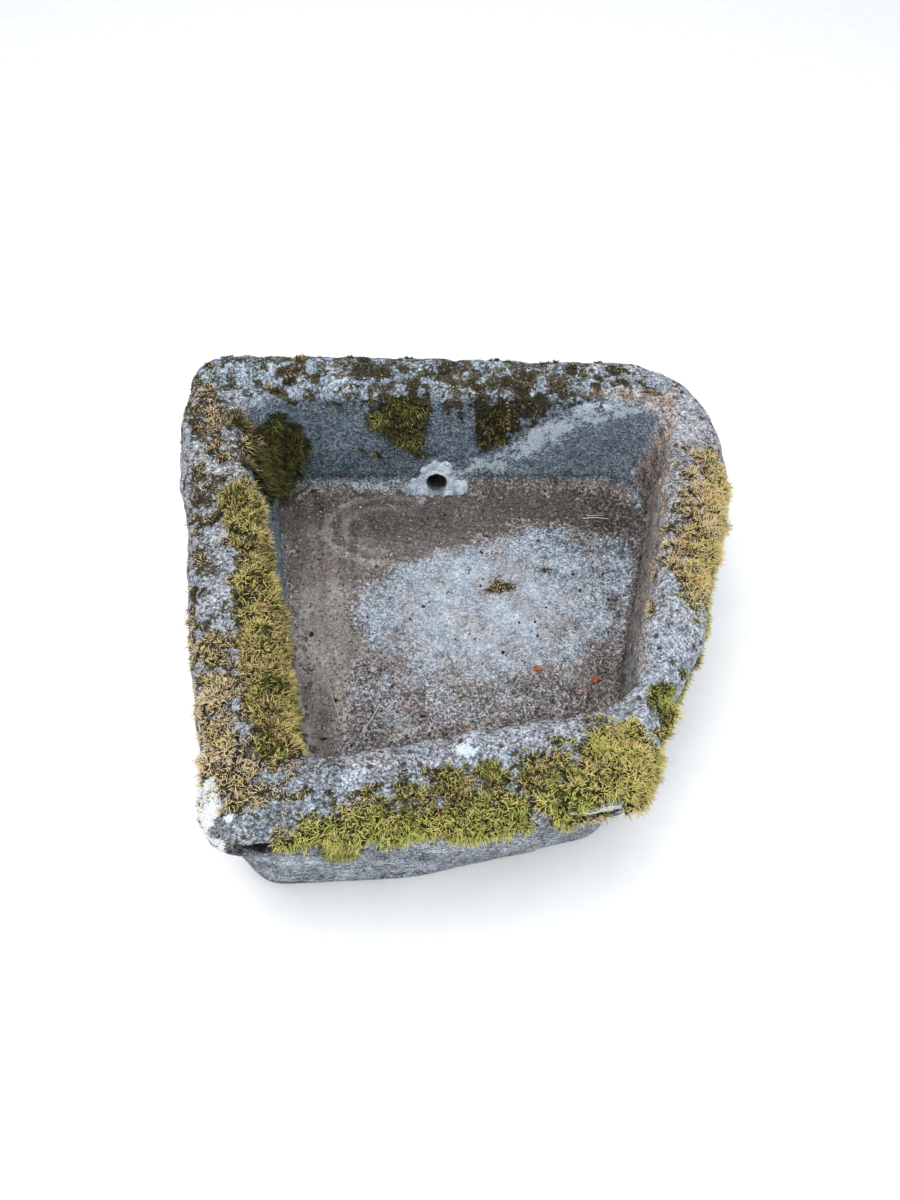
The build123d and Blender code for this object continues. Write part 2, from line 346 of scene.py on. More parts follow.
LICHEN_RAMP = [(0.1, (0.22, 0.235, 0.24)), (0.38, (0.56, 0.585, 0.59)), (1.0, (0.9, 0.9, 0.89))]
RUST_RAMP = [(0.0, (0.03, 0.018, 0.012)), (0.4, (0.17, 0.11, 0.075)), (1.0, (0.56, 0.43, 0.33))]
MORTAR_RAMP = [(0.0, (0.02, 0.018, 0.016)), (0.3, (0.12, 0.12, 0.125)), (0.55, (0.31, 0.36, 0.42)),
               (0.8, (0.46, 0.53, 0.6)), (1.0, (0.66, 0.7, 0.74))]
LEAF_RAMP = [(0.3, (0.1, 0.025, 0.012)), (0.5, (0.34, 0.075, 0.032)), (0.72, (0.52, 0.24, 0.13))]


def granite():
    m = Nodes("granite")
    grain = m.grains(2.6)
    fine = m.noise(2.2)
    value = m.add(m.sway(grain, 0.5), m.sway(m.grains(1.7), 0.36))
    value = m.add(value, m.sway(fine, 1.05))
    softly = m.add(m.times(m.attribute("spots"), 0.75), 0.15)
    value = m.add(value, m.sway(m.noise(6.0, 3.0, 0.65), softly))
    value = m.add(m.times(value, m.attribute("contrast")), m.attribute("level"), clamp=True)
    # the bluish tone: partly the granite's own cast, partly painted bluish shade on the inner walls
    stone = m.mix(m.attribute("blue_cast_and_shade"), m.ramp(value, GREY_RAMP), m.ramp(value, BLUE_CAST_AND_SHADE_RAMP))
    # each film creeps over the stone in flecks, not as an even wash
    flecks = m.noise(4.0, 4.0, 0.75)
    patches = m.noise(17.0, 5.0, 0.68)
    cover = m.add(m.sway(flecks, 1.5), m.attribute("earth"))
    cover = m.add(cover, m.sway(m.grains(3.6), 0.5))
    colour = m.mix(m.range(cover, 0.35, 0.62), stone, m.ramp(value, EARTH_RAMP))
    cover = m.add(m.add(m.sway(flecks, 1.3), m.sway(patches, 1.9)), m.attribute("crust"))
    colour = m.mix(m.range(cover, 0.44, 0.58), colour, m.ramp(value, CRUST_RAMP))
    # dark pinhead growths 4 to 9 mm across
    near = m.add(m.voronoi(15.0).outputs["Distance"], m.sway(flecks, 0.5))
    dots = m.times(m.range(near, 0.3, 0.2), m.math("GREATER_THAN", m.grains(15.0), 0.72))
    dot = m.mix(fine, (0.02, 0.015, 0.012), (0.11, 0.08, 0.06))
    colour = m.mix(m.times(dots, m.attribute("spots")), colour, dot)
    cover = m.add(m.add(m.sway(patches, 1.6), m.attribute("lichen")), m.sway(flecks, 0.9))
    tone = m.add(m.times(m.attribute("lichen"), 0.3), 0.3)
    white = m.ramp(m.add(tone, m.sway(fine, 2.2)), LICHEN_RAMP)
    # the pale lichen takes the same bluish tint, partly painted shade
    white = m.mix(m.attribute("blue_cast_and_shade"), white, m.mix(1.0, white, (0.78, 0.89, 1.0), "MULTIPLY"))
    colour = m.mix(m.range(cover, 0.5, 0.62), colour, white)
    cover = m.add(m.sway(patches, 1.2), m.attribute("rust"))
    colour = m.mix(m.times(m.range(cover, 0.3, 0.8), 0.75), colour, m.ramp(value, RUST_RAMP))
    # painted shade: the cracks under the ledge and the flake darkened to near black
    shade = m.mix(m.attribute("crack_shade"), (1, 1, 1), (0.045, 0.045, 0.05))
    colour = m.mix(1.0, colour, shade, "MULTIPLY")
    return m.finish(colour, m.range(fine, 0.2, 0.8, 0.72, 0.95), 0.25, m.both(fine, 0.6, grain), 1.6)


def mud():
    m = Nodes("silt")
    grain = m.grains(1.7)
    fine = m.noise(2.4, 4.0, 0.72)
    value = m.add(m.sway(grain, 0.42), m.sway(fine, 0.9))
    value = m.add(value, m.sway(m.noise(5.5), 1.3))
    value = m.times(value, m.attribute("contrast"))
    value = m.add(value, m.sway(m.noise(30.0, 3.0, 0.55, 1.2), 0.35))
    value = m.add(value, m.attribute("level"), clamp=True)
    colour = m.ramp(value, EARTH_RAMP)
    # scattered pale and dark single grains
    for size, rarity, share, tint in ((2.6, 0.982, 0.6, (0.4, 0.38, 0.36)),
                                      (3.1, 0.955, 0.7, (0.024, 0.019, 0.016))):
        colour = m.mix(m.times(m.math("GREATER_THAN", m.grains(size), rarity), share), colour, tint)
    # where the mud has dried to crumbs, dark hollows (painted shade) and pale granite grains stand side by
    # side
    crumbs = m.attribute("crumbs")
    for size, low, high, tint in ((7.0, 0.5, 0.4, (0.062, 0.05, 0.044)),
                                  (4.6, 0.53, 0.6, (0.62, 0.61, 0.63))):
        colour = m.mix(m.times(m.range(m.noise(size, 4.0, 0.75), low, high), crumbs), colour, tint)
    return m.finish(colour, m.range(fine, 0.2, 0.8, 0.7, 0.95), 0.2, m.both(fine, 0.7, grain), 0.9, 0.9)


def mortar():
    m = Nodes("mortar")
    fine = m.noise(2.4, 4.0, 0.72)
    broad = m.noise(12.0, 4.0, 0.68)
    value = m.add(m.sway(fine, 1.0), m.sway(broad, 1.1))
    value = m.add(value, m.sway(m.grains(2.2), 0.2))
    colour = m.ramp(m.add(value, m.attribute("level"), clamp=True), MORTAR_RAMP)
    return m.finish(colour, m.range(fine, 0.2, 0.8, 0.75, 0.95), 0.2, m.both(fine, 0.6, broad), 1.6)


def moss_bed_with_shade(name, *tones):
    """The felted bed under the shoots, from its hollows to its tips; its near-black tones are partly the
    bed's own colour and partly painted shade in the gaps between the shoots.
    """
    m = Nodes(name)
    fine = m.noise(1.8, 4.0, 0.75)
    clump = m.noise(7.0, 3.0, 0.65)
    colour = m.ramp(m.both(fine, 0.55, clump), list(zip((0.25, 0.5, 0.78), tones)))
    return m.finish(colour, m.range(fine, 0.2, 0.8, 0.8, 0.97), 0.15, m.both(fine, 0.6, clump), 2.2)


def leaf_finish():
    m = Nodes("dry_leaf")
    vein = m.noise(1.6, 4.0)
    colour = m.ramp(m.both(vein, 0.5, m.noise(9.0, 2.0, 0.5)), LEAF_RAMP)
    return m.finish(colour, m.range(vein, 0.2, 0.8, 0.4, 0.75), 0.35, vein, 0.4, 0.7)


def speck(name, colour, size, height, gloss, mottle=0.0):
    """A finish for shoots, grains and stems, plain or mottled. gloss is a smooth step's two ends and the
    roughness at each."""
    m = Nodes(name)
    fine = m.noise(size)
    if mottle:
        dark, light = (tuple(c * k for c in colour) for k in (1 - mottle, 1 + mottle))
        colour = m.ramp(fine, [(0.3, dark), (0.7, light)])
    return m.finish(colour, m.range(fine, *gloss), 0.25, fine, height, 0.6)


# the shoots' tints, from dark to light and dry; every cushion mixes several of them shoot by shoot
SHOOTS = {
    "deep": (0.026, 0.027, 0.012), "olive": (0.112, 0.11, 0.034), "green": (0.27, 0.285, 0.07),
    "lime": (0.57, 0.61, 0.15), "yellow": (0.82, 0.68, 0.27), "golden": (0.76, 0.55, 0.27),
    "tan": (0.82, 0.7, 0.5), "brown": (0.17, 0.11, 0.06),
}


# ---------------------------------------------------------------- the stone
P0, N0, QUADS = remeshed("stone_trough", VOXEL)
X0, Y0, Z0 = P0.T
WITHIN = inside(P0, BASIN)
EDGE = inside(P0, RIM)
LEDGE_Z = 242.0
FLAKE_Z = 241.0


def band(x, low, high, soft):
    return ease(low - soft, low + soft, x) * ease(high + soft, high - soft, x)


# 1 at the front left corner's broken ledge, and on the flake at the front right
LEDGE = ease(-165, -195, X0) * ease(-256, -216, X0) * ease(-265, -300, Y0) * ease(70, 45, EDGE)
FLAKE = ease(116, 130, X0) * ease(199, 190, X0 + 3 * noise(P0, 9, 15)) * ease(-270, -285, Y0)
# that flake's lower line and height: a wedge that widens to the right
FLAKE_LOW = FLAKE_Z - 0.12 * (X0 - 160) + 2.0 * noise(P0, 34, 12) + 1.2 * noise(P0, 9, 16)
FLAKE_TALL = 2.5 + 10 * ease(122, 186, X0) + 2.2 * noise(P0, 13, 17)


def shape_stone():
    """Moves the even stone surface into a weathered, hand-cut one. Returns new points, the small-scale relief
    and the dark, painted shade of the cracks under the ledge and the flake."""
    p, z = P0, Z0
    floor = ease(-6, 10, WITHIN) * ease(120, 95, z)
    hollow = ease(-4, 8, WITHIN) * ease(258, 240, z)
    outer = ease(40, 14, EDGE) * ease(246, 215, z)
    # free to move everywhere but at the flat base and round the drain
    around = np.hypot(X0 - DRAIN[0], z - DRAIN[1])
    free = ease(3, 24, z) * np.where(Y0 > 225, ease(21, 50, around), 1.0)
    large = (4.6 * noise(p, 190, 1) + 2.8 * noise(p, 84, 2)) * (1 - 0.45 * hollow - 0.35 * floor)
    medium = (1.9 * noise(p, 36, 3) + 1.1 * noise(p, 17, 4)) * (1 - 0.5 * hollow - 0.1 * floor)
    small = (0.6 * noise(p, 9.5, 5) + 0.45 * noise(p, 6.2, 6)) * (1 - 0.3 * hollow)
    near, own = strewn(p, 21, 5001)
    pits = -2.4 * ease(5.0, 0.5, near) * (own > 0.55)
    near, own = strewn(p, 46, 5002)
    chips = -3.2 * ease(13, 4, near) * (own > 0.72) * (1 - hollow)
    # bedding-like steps on the outside below the rim
    bed = np.stack([X0, Y0, (z + 7 * noise(p, 120, 7)) * 6], 1)
    strata = 0.5 * fbm(bed, 110, 8, 2) * outer
    relief = medium + small + pits
    d = (large + relief + chips + strata) * free
    # the broken ledge under the rim at the front left, and the crack beneath it
    line = LEDGE_Z + 4 * noise(p, 60, 9)
    d -= LEDGE * 14 * band(z, line - 12, line - 1, 1.5)
    d += LEDGE * 2.5 * band(z, line - 20, line - 12, 2)
    d += LEDGE * 2.5 * band(z, line + 1, line + 9, 3) * (0.5 + 0.9 * noise(p, 24, 10))
    # dark is painted shade in the crack beneath the ledge
    dark = LEDGE * band(z, line - 15, line - 1, 2)
    # a shallower one along the rest of the front, hidden by moss in places
    along = ease(-170, -130, X0) * ease(-230, -270, Y0) * ease(60, 30, EDGE)
    line = 214 + 5 * noise(p, 70, 11)
    d -= along * (5 * np.exp(-((z - line) / 4.5) ** 2) + 4 * ease(250, 215, z) * ease(80, 150, z))
    # a flake lifted off the front right
    line = FLAKE_LOW
    d -= FLAKE * 9 * band(z, line - 7, line - 1, 1.5)
    d += FLAKE * 1.2 * band(z, line + 1, line + FLAKE_TALL, 3)
    # painted shade in the gap beneath the flake joins it
    dark = np.maximum(dark, FLAKE * band(z, line - 9, line - 1, 2))
    # worn lip and nicks along the inner edge of the rim
    lip = np.exp(-(WITHIN / 12.0) ** 2) * ease(225, 245, z)
    d += lip * (1.8 * noise(p, 30, 13) + 1.6 * noise(p, 13, 14) - 0.8)
    # the floor sags a little towards its middle and rises in the corners
    d += floor * ease(0.5, 0.9, N0[:, 2]) * (1.5 - 3.0 * ease(20, 170, WITHIN))
    moved = p + N0 * col(d)
    moved[:, 2] = np.maximum(moved[:, 2], 0.0)
    moved[z < BASE_Z, 2] = 0.0
    return moved, relief * free, dark


P, RELIEF, CRACK_SHADE = shape_stone()
P = spread(P, 1) * 0.35 + P * 0.65
P[Z0 < BASE_Z, 2] = 0.0
N = unit(gathered(np.cross(P[QUADS[:, 2]] - P[QUADS[:, 0]], P[QUADS[:, 3]] - P[QUADS[:, 1]])))
SOFT_N = spread(N0, 5)
STONE_TREE = tree_of(P, QUADS)


# ---------------------------------------------------------------- growth
def cover_of(node, reach, depth=3.0):
    """How much each stone point lies under a CAD cushion, 0 to 1, with a wandering, feathered edge."""
    mesh = NODES[node].data
    v = coords(mesh) / MM
    mesh.calc_loop_triangles()
    tris = np.empty(len(mesh.loop_triangles) * 3, np.int32)
    mesh.loop_triangles.foreach_get("vertices", tris)
    tree = tree_of(v, tris.reshape(-1, 3))
    low, high = v.min(0) - reach * 2.2, v.max(0) + reach * 2.2
    near = np.nonzero(((P0 > low) & (P0 < high)).all(1))[0]
    p, n = P0[near], N0[near]
    wander = np.stack([fbm(p, 24, 40 + k, 2) for k in range(3)], 1) * reach * 0.8
    side = unit(np.cross(n, (0.31, 0.83, 0.46)))
    other = np.cross(n, side)
    total = np.zeros(len(near))
    turns = [(0, 0)] + [(math.cos(a), math.sin(a)) for a in np.arange(6) * math.pi / 3 + 0.3]
    for cs, sn in turns:
        step = wander + (side * cs + other * sn) * reach
        q = p + n * depth + step - n * col((step * n).sum(1))
        for k, point in enumerate(map(Vector, q)):
            loc, nor, _, _ = tree.find_nearest(point)
            total[k] += loc is not None and (point - loc).dot(nor) < 0
    out = np.zeros(len(P0))
    out[near] = total / len(turns)
    return spread(out, 2)


SHELL_N = spread(N, 2)
SHELL_SINK = 1.2          # how far a coat's underside lies in the stone
THIRD_TURN = 2.0944       # radians
SHOOT_RINGS = ((0.0, 1.0), (0.4, 1.0), (0.76, 0.72))  # share of the length, share of the radius
SHOOT_RADII = (0.34, 0.7)
SHOOT_SHARE = 1.75        # how many more shoots than a growth's own density says
CLUMP = 13                # size of the moss clumps


def shell(name, cover, height):
    """A closed coat over the stone where cover is over a half, height mm thick at each point."""
    keep = QUADS[(cover[QUADS] > 0.5).all(1)]
    used = np.unique(keep)
    count = len(used)
    index = np.full(len(P), -1)
    index[used] = np.arange(count)
    faces = index[keep]
    top = P[used] + unit(SHELL_N[used]) * col(height[used])
    low = P[used] - N[used] * SHELL_SINK
    edges = np.concatenate([faces[:, [k, (k + 1) % 4]] for k in range(4)])
    key = edges[:, 0].astype(np.int64) * count + edges[:, 1]
    back = edges[:, 1].astype(np.int64) * count + edges[:, 0]
    rim = edges[~np.isin(key, back)]
    sides = np.stack([rim[:, 1], rim[:, 0], rim[:, 0] + count, rim[:, 1] + count], 1)
    mesh = build(name, np.concatenate([top, low]), [faces, faces[:, ::-1] + count, sides])
    return mesh, top, faces, used


def shoots(name, roots, aims, lengths, radii, tints, rng, droop=0.2):
    """Closed, curved, tapering three-sided shoots of ten points, and each one's lower and upper tint."""
    count = len(roots)
    aims = unit(aims)
    side = unit(np.cross(aims, rng.normal(size=(count, 3))))
    other = np.cross(aims, side)
    bend = side * col(rng.uniform(0.15, 0.85, count))
    bend[:, 2] -= droop
    verts = np.empty((count, 10, 3))
    for ring, (t, r) in enumerate(SHOOT_RINGS):
        centre = roots + aims * col(lengths * t) + bend * col(lengths * t * t)
        for k in range(3):
            a = THIRD_TURN * k
            verts[:, ring * 3 + k] = centre + (side * math.cos(a) + other * math.sin(a)) * col(radii * r)
    verts[:, 9] = roots + aims * col(lengths) + bend * col(lengths)
    quads = np.array([(r * 3 + k, r * 3 + (k + 1) % 3, r * 3 + 3 + (k + 1) % 3, r * 3 + 3 + k)
                      for r in (0, 1) for k in range(3)])
    tips = np.array([(6 + k, 6 + (k + 1) % 3, 9) for k in range(3)] + [(2, 1, 0)])
    shift = (np.arange(count) * 10)[:, None, None]
    groups = [(quads + shift).reshape(-1, 4), (tips + shift).reshape(-1, 3)]
    lower, upper = tints
    slots = [np.stack(rows, 1).reshape(-1) for rows in ([lower] * 3 + [upper] * 3, [upper] * 3 + [lower])]
    return build(name, verts.reshape(-1, 3), groups, np.concatenate(slots))


# the beds' near-black tones: partly the moss's own dark felt, partly painted shade between the shoots
BED_MATS = {
    "green": moss_bed_with_shade("moss_bed_green", (0.008, 0.008, 0.004), (0.03, 0.027, 0.01), (0.1, 0.088, 0.03)),
    "golden": moss_bed_with_shade("moss_bed_golden", (0.012, 0.009, 0.006), (0.05, 0.036, 0.02), (0.16, 0.12, 0.07)),
    "dark": moss_bed_with_shade("moss_bed_dark", (0.005, 0.006, 0.003), (0.018, 0.02, 0.007), (0.055, 0.058, 0.018)),
    "brown": moss_bed_with_shade("moss_bed_brown", (0.008, 0.007, 0.005), (0.033, 0.026, 0.016), (0.1, 0.082, 0.05)),
}
SHOOT_MATS = [speck("moss_shoot_" + k, c, 1.1, 0.25, (0.25, 0.75, 0.5, 0.85)) for k, c in SHOOTS.items()]
# the tint of each shoot's lower half, darker: partly the moss's own older stems, partly painted shade
# low among the shoots
DARKER = {"deep": "deep", "olive": "deep", "green": "olive", "lime": "olive", "yellow": "olive",
          "golden": "brown", "tan": "brown", "brown": "deep"}


class Moss:
    """One CAD cushion's growth: the bed's finish and thickness, the shoots' length and number to a square mm,
    how far its edge feathers, how broken up it is, how much the shoots reach upwards, and the tints of its
    main part and of its thin part."""

    def __init__(self, bed, thick, length, density, reach, broken, up, main, thin=None):
        self.bed, self.thick, self.length, self.density = bed, thick, length, density
        self.reach, self.broken, self.up, self.main, self.thin = reach, broken, up, main, thin or main


MOSS = {
    "moss_left_rim_inner": Moss("green", 10, (8, 14), 0.42, 12, 0.35, 0.35,
        dict(deep=1, olive=2.4, green=2, lime=1.2, yellow=3.6, golden=2.8, brown=1.8),
        dict(tan=4, golden=2.5, brown=2, yellow=1, olive=.8)),
    "moss_left_rim_outer": Moss("brown", 3.5, (4, 9), 0.3, 14, 0.9, 0.2,
        dict(deep=1, olive=2, brown=2, golden=2, tan=2.2)),
    "moss_front_left_corner": Moss("brown", 4, (8, 14), 0.3, 18, 1.0, 0.2,
        dict(olive=.4, brown=.5, golden=2.0, tan=8, yellow=2.4)),
    "moss_back_left_rim": Moss("brown", 3, (4, 9), 0.3, 16, 1.0, 0.2,
        dict(deep=.6, olive=1, brown=1.6, golden=2, tan=3)),
    "moss_back_left_corner": Moss("dark", 8, (10, 21), 0.34, 12, 0.85, 0.15,
        dict(deep=3.5, olive=4.5, green=1.7, brown=.6),
        dict(deep=1.6, olive=3, golden=1.7, brown=2.2, tan=.6)),
    "moss_back_wall_centre": Moss("dark", 6, (7, 13), 0.42, 9, 0.45, 0.35,
        dict(deep=3, olive=4, green=1.5, lime=.3, golden=.2)),
    "moss_back_wall_right": Moss("dark", 5, (6, 11), 0.4, 10, 0.95, 0.3,
        dict(deep=4, olive=3, green=.8, golden=.4, brown=1)),
    "moss_back_rim_tufts": Moss("brown", 2.2, (2.5, 6), 0.4, 18, 1.1, 0.25,
        dict(deep=6, olive=1.6, brown=2.6, golden=.4, tan=.4)),
    "moss_right_rim": Moss("golden", 7, (8, 14), 0.38, 13, 0.5, 0.3,
        dict(lime=1.5, yellow=4, golden=3, tan=2, brown=.4),
        dict(golden=4, tan=5.5, brown=1.0, yellow=.6)),
    "moss_right_outer": Moss("green", 5, (6, 11), 0.34, 9, 0.5, 0.3,
        dict(olive=1, green=2, lime=4, yellow=4)),
    "moss_right_front_tuft": Moss("green", 5, (6, 11), 0.4, 9, 0.5, 0.3,
        dict(olive=2, green=3, lime=2, yellow=1.5)),
    "moss_front_rim": Moss("green", 6, (7, 13), 0.42, 12, 0.6, 0.6,
        dict(green=2.5, lime=6, yellow=3, golden=.5, olive=.8),
        dict(deep=.8, olive=3, green=2.4, golden=2, yellow=1.6, brown=.8, lime=1)),
    "moss_front_right_corner": Moss("green", 8, (8, 14), 0.44, 12, 0.35, 0.55,
        dict(olive=.6, green=1.2, lime=3.2, yellow=6, golden=3, brown=.4)),
    "moss_front_wall_tongue": Moss("green", 5, (7, 12), 0.4, 7, 0.3, 0.0,
        dict(olive=2, green=3, lime=2, golden=.5, brown=.5)),
    "moss_floor_tufts": Moss("brown", 2, (4, 8), 0.25, 8, 0.7, 0.1,
        dict(olive=2, brown=3, golden=2, tan=1)),
}


def thin_share(node):
    """Where a cushion thins out: 0 in its main part, 1 in its thin part."""
    if node == "moss_left_rim_inner":
        return ease(-31, -52, WITHIN + 7 * noise(P0, 30, 64))
    if node == "moss_front_rim":
        return ease(22, 46, EDGE + 9 * noise(P0, 34, 64)) * ease(150, 110, X0)
    if node == "moss_back_left_corner":
        return ease(222, 240, Z0 + 8 * noise(P0, 26, 64)) * ease(-225, -250, X0)
    if node == "moss_right_rim":
        return ease(26, 48, EDGE + 8 * noise(P0, 30, 64))
    return np.zeros(len(P0))


def islands(size, seed, share):
    """Ragged islands of growth over a share of the surface."""
    field = noise(P0, size, seed) + 0.55 * noise(P0, size * 0.45, seed + 1)
    field += 0.3 * noise(P0, size * 0.2, seed + 2)
    return ease(1.0 - 1.6 * share, 1.35 - 1.6 * share, field)


RAW = {node: cover_of(node, kind.reach) for node, kind in MOSS.items()}
TOTAL = np.clip(sum(RAW.values()), 0, 1)
OWNER = np.argmax(np.stack(list(RAW.values())), axis=0)


def bare_places():
    """Where the growth stands back from the rock: flakes, ledges and the wall below the left rim."""
    x, y, z = P0.T
    keep = 1 - 0.95 * FLAKE * band(z, FLAKE_LOW - 7, FLAKE_LOW + FLAKE_TALL, 2) * (y < -284)
    keep *= 1 - 0.9 * band(x, 88, 112, 5) * band(z, 232, 256, 4) * (y < -284)
    keep *= 1 - 0.9 * LEDGE * ease(262, 256, z) * ease(-190, -200, x)
    overhang = 3 + 0.055 * (60 - y) + 3 * noise(P0, 26, 69)
    left = ease(-140, -165, x) * ease(175, 150, y)
    keep *= 1 - left * ease(overhang, overhang + 6, WITHIN) * ease(150, 180, z)
    # the dark corner growth stops short on the back wall and above the floor
    wander = 7 * noise(P0, 22, 72)
    reach = -206 - 0.6 * np.abs(z - 166) + 11 * noise(P0, 15, 74)
    keep *= 1 - ease(reach - 3, reach + 3, x) * (x < -150) * (y > 225) * (z < 240)
    keep *= 1 - ease(226, 216, y + wander) * ease(150, 135, z) * (x < -150) * (z > 92)
    keep *= 1 - ease(222, 236, z + wander) * (WITHIN > 6) * (x < -180) * (y > 225)
    # the front growth ends on the lip, short of the wall below
    front = ease(-200, -250, y) * ease(-250, -200, x)
    low = 238 - 12 * ease(60, 150, x) + 6 * noise(P0, 30, 70) + 4 * noise(P0, 12, 75)
    return keep * (1 - front * ease(low + 4, low - 4, z) * ease(165, 185, z))


KEEP = bare_places()


def full_cover(node):
    """A cushion's cover on the stone, with the growth beside the CAD cushion that belongs to it."""
    x, y, z = P0.T
    cover = TOTAL * (OWNER == list(MOSS).index(node)) * KEEP
    on_rim = ease(16, 2, WITHIN) * ease(225, 250, z)
    more = 0.0
    if node == "moss_front_wall_tongue":
        cover = RAW[node]
        hanging = ease(24, 15, np.abs(x + 124) + 5 * noise(P0, 14, 76)) * band(z, 196, 250, 4)
        more = 0.9 * hanging * (y < -250)
    elif node == "moss_front_rim":
        upper = ease(-33, -41, WITHIN + 7 * noise(P0, 26, 73)) * ease(-80, -30, x) * ease(150, 120, x)
        more = 0.85 * upper * KEEP * (y < -200) * (z > 235)
    elif node == "moss_left_rim_outer":
        more = 0.62 * islands(34, 210, 0.44) * on_rim * ease(-150, -215, x)
    elif node == "moss_right_outer":
        cover = cover * (EDGE < 50)
    elif node == "moss_right_rim":
        seam = np.exp(-((WITHIN + 1.5) / 3.5) ** 2) * ease(228, 238, z) * band(y, -100, 40, 15)
        more = 0.8 * seam * (x > 190) * ease(-0.5, 0.3, noise(P0, 22, 71))
    elif node == "moss_back_left_corner":
        fold = ease(13, 5, np.abs(WITHIN - 1)) * band(y, 168, 268, 10) * (x < -200)
        more = 0.85 * fold * (z > 190)
    elif node == "moss_back_rim_tufts":
        more = 0.62 * islands(30, 220, 0.46) * on_rim * ease(275, 300, y)
    return np.maximum(cover, more)


def pick_tints(kind, root, lean, bias, rng):
    """Each shoot's lower and upper tint, drawn by the weights of its part in drifts about 24 mm wide. bias
    lightens a whole clump."""
    field = np.stack([noise(root, 24, 80 + k) for k in range(len(SHOOTS))], 1)
    shadow = (np.arange(len(SHOOTS)) < 3)[None]
    upper = np.zeros(len(root), int)
    for part, weights in ((~lean, kind.main), (lean, kind.thin)):
        w = np.array([weights.get(k, 0.0) for k in SHOOTS])[None] * np.exp(1.3 * field)
        w = w * np.where(shadow, col(1.7 - 1.4 * bias), col(0.5 + bias))
        w /= w.sum(1, keepdims=True)
        chosen = (col(rng.random(len(root))) > np.cumsum(w, 1)).sum(1).clip(0, len(SHOOTS) - 1)
        upper = np.where(part, chosen, upper)
    names = list(SHOOTS)
    return np.array([names.index(DARKER[k]) for k in names])[upper], upper


def grow(node, seed):
    kind = MOSS[node]
    rng = np.random.default_rng(seed)
    cover = full_cover(node)
    thin = thin_share(node)
    rag = 0.62 * noise(P0, 19, 65) + 0.42 * noise(P0, 9, 66) + 0.25 * noise(P0, 5, 67)
    rag = kind.broken * (0.2 + 0.8 * rag) + thin * (0.34 + 0.6 * rag)
    cover = np.clip(cover - rag, 0, 1) * (cover > 0.02)
    step, own = cells(P0, CLUMP, 7003)
    crown = 1 - ease(2.0, 9.5, np.linalg.norm(step, axis=1))
    height = kind.thick * ease(0.35, 0.95, cover) * (0.55 + 0.55 * crown + 0.3 * noise(P, 26, 60))
    height = np.maximum(height * (1 - 0.5 * thin) + 0.9 * noise(P, 5, 62), 0.3)
    link(node + "_bed", shell(node + "_bed", cover, height)[0], node, [BED_MATS[kind.bed]])
    # shoots over the whole feathered patch, thicker on the clumps' crowns
    keep = QUADS[(cover[QUADS] > 0.22).any(1)]
    a, b, c, d = (P[keep[:, k]] for k in range(4))
    area = 0.5 * np.linalg.norm(np.cross(c - a, d - b), axis=1)
    share = cover[keep].mean(1)
    weight = area * np.clip(share, 0, 1) * (0.25 + crown[keep].mean(1))
    count = int(min(MOST_SHOOTS, SHOOT_SHARE * kind.density * weight.sum()))
    pick = rng.choice(len(keep), count, p=weight / weight.sum())
    u, v = col(rng.random(count)), col(rng.random(count))
    f = keep[pick]
    a, b, c, d = (P[f[:, k]] for k in range(4))
    root = (a * (1 - u) + b * u) * (1 - v) + (d * (1 - u) + c * u) * v
    normal = N[f].mean(1)
    rise = np.where(share[pick] > 0.5, height[f].mean(1), 0.0)
    root = root + normal * col(rise - 1.0)
    splay = step[f].mean(1) / 9.0
    splay -= normal * col((splay * normal).sum(1))
    aims = normal + 1.15 * splay + rng.normal(size=(count, 3)) * 0.42 + np.array([0, 0, kind.up])
    short, long = kind.length
    lengths = rng.uniform(short, long, count) * (0.5 + 0.5 * ease(0.1, 0.8, share[pick]))
    radii = rng.uniform(*SHOOT_RADII, count) * (0.6 + 0.4 * lengths / long)
    lean = thin[f].mean(1) > rng.random(count)
    tints = pick_tints(kind, root, lean, own[f[:, 0]], rng)
    mesh = shoots(node + "_shoots", root, aims, lengths, radii, tints, rng)
    link(node + "_shoots", mesh, node, SHOOT_MATS)
    return cover


COVER = {node: grow(node, 300 + k) for k, node in enumerate(MOSS)}
ALL_MOSS = np.max(list(COVER.values()), axis=0)

# ---------------------------------------------------------------- silt
SILT = cover_of("silt_bed", 10.0, 2.0)
CHANNEL = band(X0, DRAIN[0] - 30, DRAIN[0] + 30, 4) * band(Y0, 160, 256, 4) * (Z0 < 96)
SILT = np.maximum(SILT, CHANNEL) * np.where(Y0 > 225, ease(99, 94, Z0), 1.0)
SILT_SOFT = spread(SILT, 60) * np.where(Y0 > 225, ease(102, 95, Z0), 1.0)


